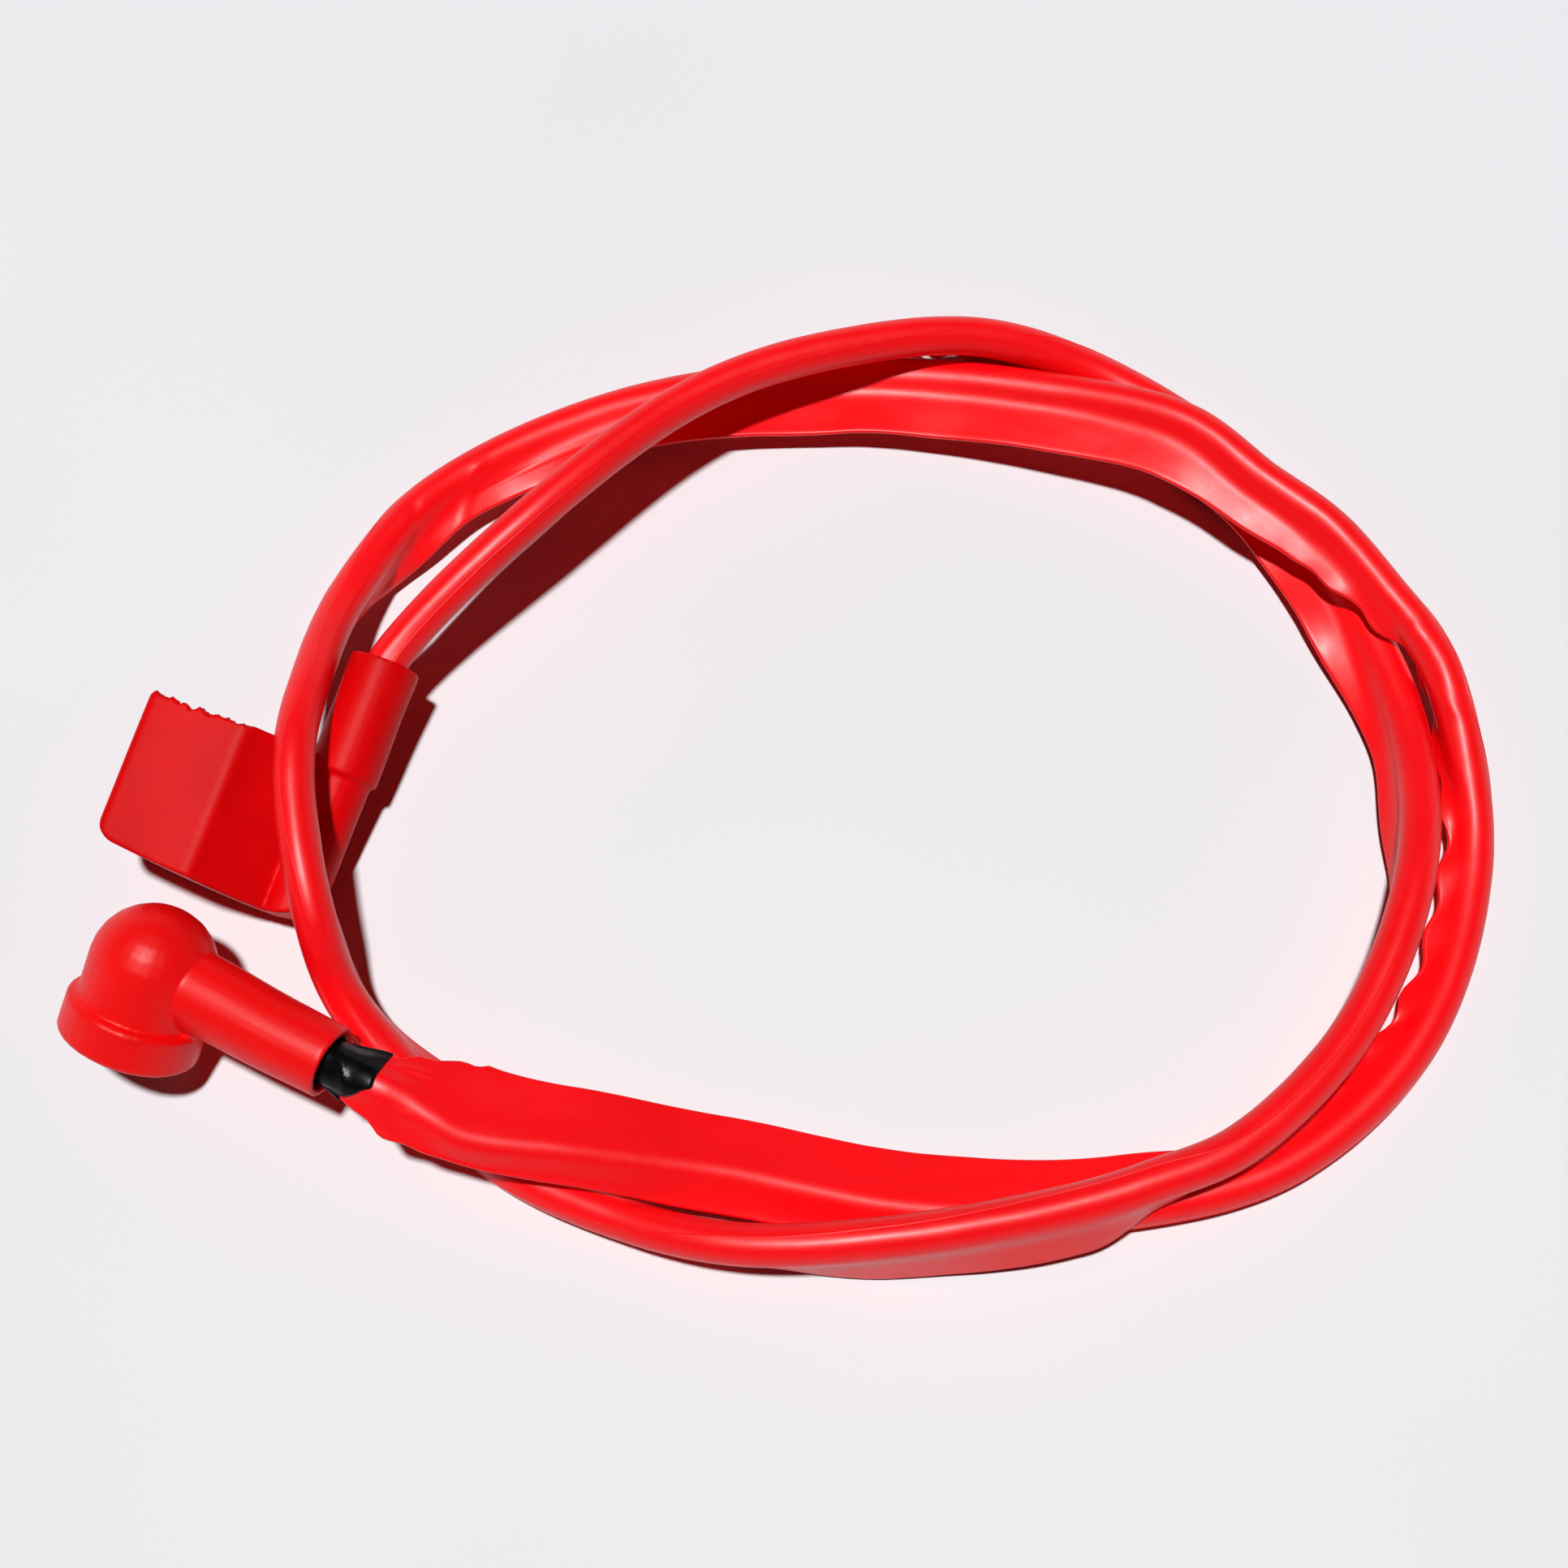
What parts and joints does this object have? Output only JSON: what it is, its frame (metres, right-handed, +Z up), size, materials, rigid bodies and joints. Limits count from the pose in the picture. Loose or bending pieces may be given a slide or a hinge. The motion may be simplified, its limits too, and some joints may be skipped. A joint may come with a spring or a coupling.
{
  "type": "battery cable",
  "caption": "Red sleeved battery lead in a loose loop, with a box-shaped terminal cover at one end and a taped, domed right-angle boot at the other.",
  "frame": {"origin": "middle of the footprint, on the surface that the cable lies on", "axes": "+Z up from the surface; +X along the loop's longer way, away from the cover and the boot; +Y across the loop, towards the cover's side"},
  "size_m": [0.2261, 0.1615, 0.0267],
  "materials": {
    "sleeve_vinyl": "glossy soft vinyl sleeve, creased",
    "insulation_vinyl": "plain wire insulation, hidden by the sleeve",
    "copper": "bright stranded copper",
    "tape_vinyl": "shiny black electrical tape",
    "cover_vinyl": "satin dip-moulded vinyl",
    "tinned_lug": "tinned copper",
    "boot_vinyl": "satin moulded vinyl"
  },
  "bodies": {
    "root": {"sleeve": "sleeve_vinyl", "wire_insulation": "insulation_vinyl", "copper_conductor": "copper", "tape_band": "tape_vinyl", "terminal_cover": "cover_vinyl", "battery_terminal": "tinned_lug", "elbow_boot": "boot_vinyl", "starter_terminal": "tinned_lug"}
  },
  "joints": []
}
